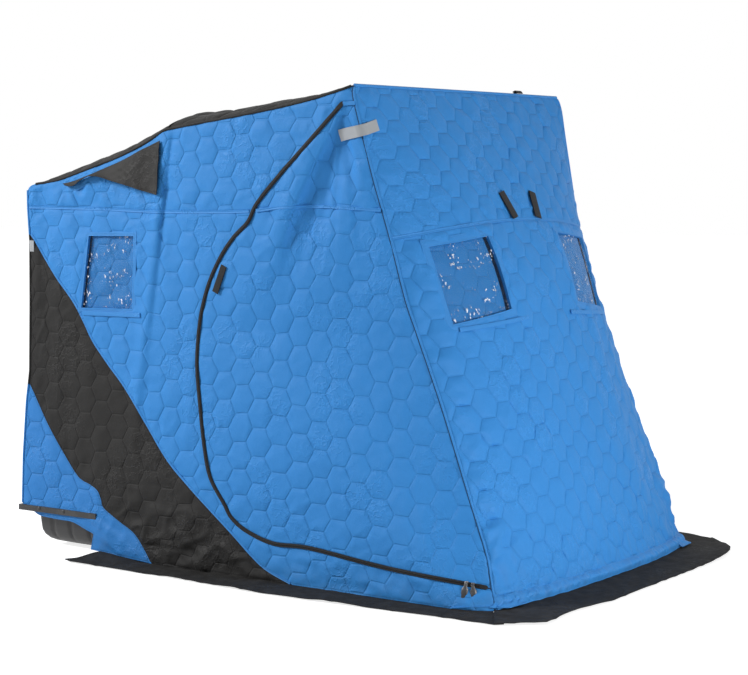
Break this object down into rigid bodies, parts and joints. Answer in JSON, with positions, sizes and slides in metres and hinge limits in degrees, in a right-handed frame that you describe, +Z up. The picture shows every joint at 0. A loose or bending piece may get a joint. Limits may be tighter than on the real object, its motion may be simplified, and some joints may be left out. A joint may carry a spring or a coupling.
{
  "type": "flip-over ice fishing shelter",
  "caption": "Insulated fabric ice fishing shelter on folding bows over a moulded sled, with zipped side doors, clear windows, vent hoods and a snow skirt.",
  "frame": {"origin": "centre of the bounding box footprint on the ice, at the underside of the skirt and runners", "axes": "+X towards the front wall, away from the sled; +Y the left side; +Z up"},
  "size_m": [2.688, 2.07, 1.96],
  "materials": {
    "quilted_blue": "matt quilted",
    "charcoal_fabric": "matt quilted",
    "skirt_fabric": "matt coated",
    "cover_fabric": "matt quilted",
    "zip_black": "woven tape",
    "clear_vinyl": "clear and creased",
    "bow_tube": "satin",
    "pivot_plate": "satin",
    "moulded_black": "textured"
  },
  "bodies": {
    "shelter": {"base_bow": "bow_tube", "front_skirt": "skirt_fabric", "front_wall_lower": "quilted_blue", "front_wall_upper": "quilted_blue", "left_door_surround": "quilted_blue", "left_front_window": "clear_vinyl", "left_front_window_cover": "cover_fabric", "left_pivot_plate": "pivot_plate", "left_rail": "moulded_black", "left_side_window": "clear_vinyl", "left_side_window_cover": "cover_fabric", "left_skirt": "skirt_fabric", "left_vent_hood": "charcoal_fabric", "left_wall_dark_panel": "charcoal_fabric", "left_wall_panel": "quilted_blue", "left_wall_tail": "quilted_blue", "left_wall_upper": "quilted_blue", "middle_bow": "bow_tube", "peak_bow": "bow_tube", "rear_bow": "bow_tube", "rear_rail": "moulded_black", "rear_wall_band": "charcoal_fabric", "rear_wall_lower": "quilted_blue", "rear_wall_upper": "quilted_blue", "right_door_surround": "quilted_blue", "right_front_window": "clear_vinyl", "right_front_window_cover": "cover_fabric", "right_pivot_plate": "pivot_plate", "right_rail": "moulded_black", "right_side_window": "clear_vinyl", "right_side_window_cover": "cover_fabric", "right_skirt": "skirt_fabric", "right_vent_hood": "charcoal_fabric", "right_wall_dark_panel": "charcoal_fabric", "right_wall_panel": "quilted_blue", "right_wall_tail": "quilted_blue", "right_wall_upper": "quilted_blue", "roof_front": "charcoal_fabric", "roof_rear": "charcoal_fabric", "sled": "moulded_black"},
    "right_door": {"right_door": "quilted_blue", "right_door_zip": "zip_black"},
    "left_door": {"left_door": "quilted_blue", "left_door_zip": "zip_black"}
  },
  "joints": [
    {"name": "right_door_fold", "type": "hinge", "parent": "shelter", "child": "right_door", "pos_m": [0.68327, -0.79156, 0.993], "axis": [-0.3224, -0.0112, 0.9465], "range_deg": [0, 110]},
    {"name": "left_door_fold", "type": "hinge", "parent": "shelter", "child": "left_door", "pos_m": [0.68327, 0.79156, 0.993], "axis": [0.3224, -0.0112, -0.9465], "range_deg": [0, 110]}
  ]
}
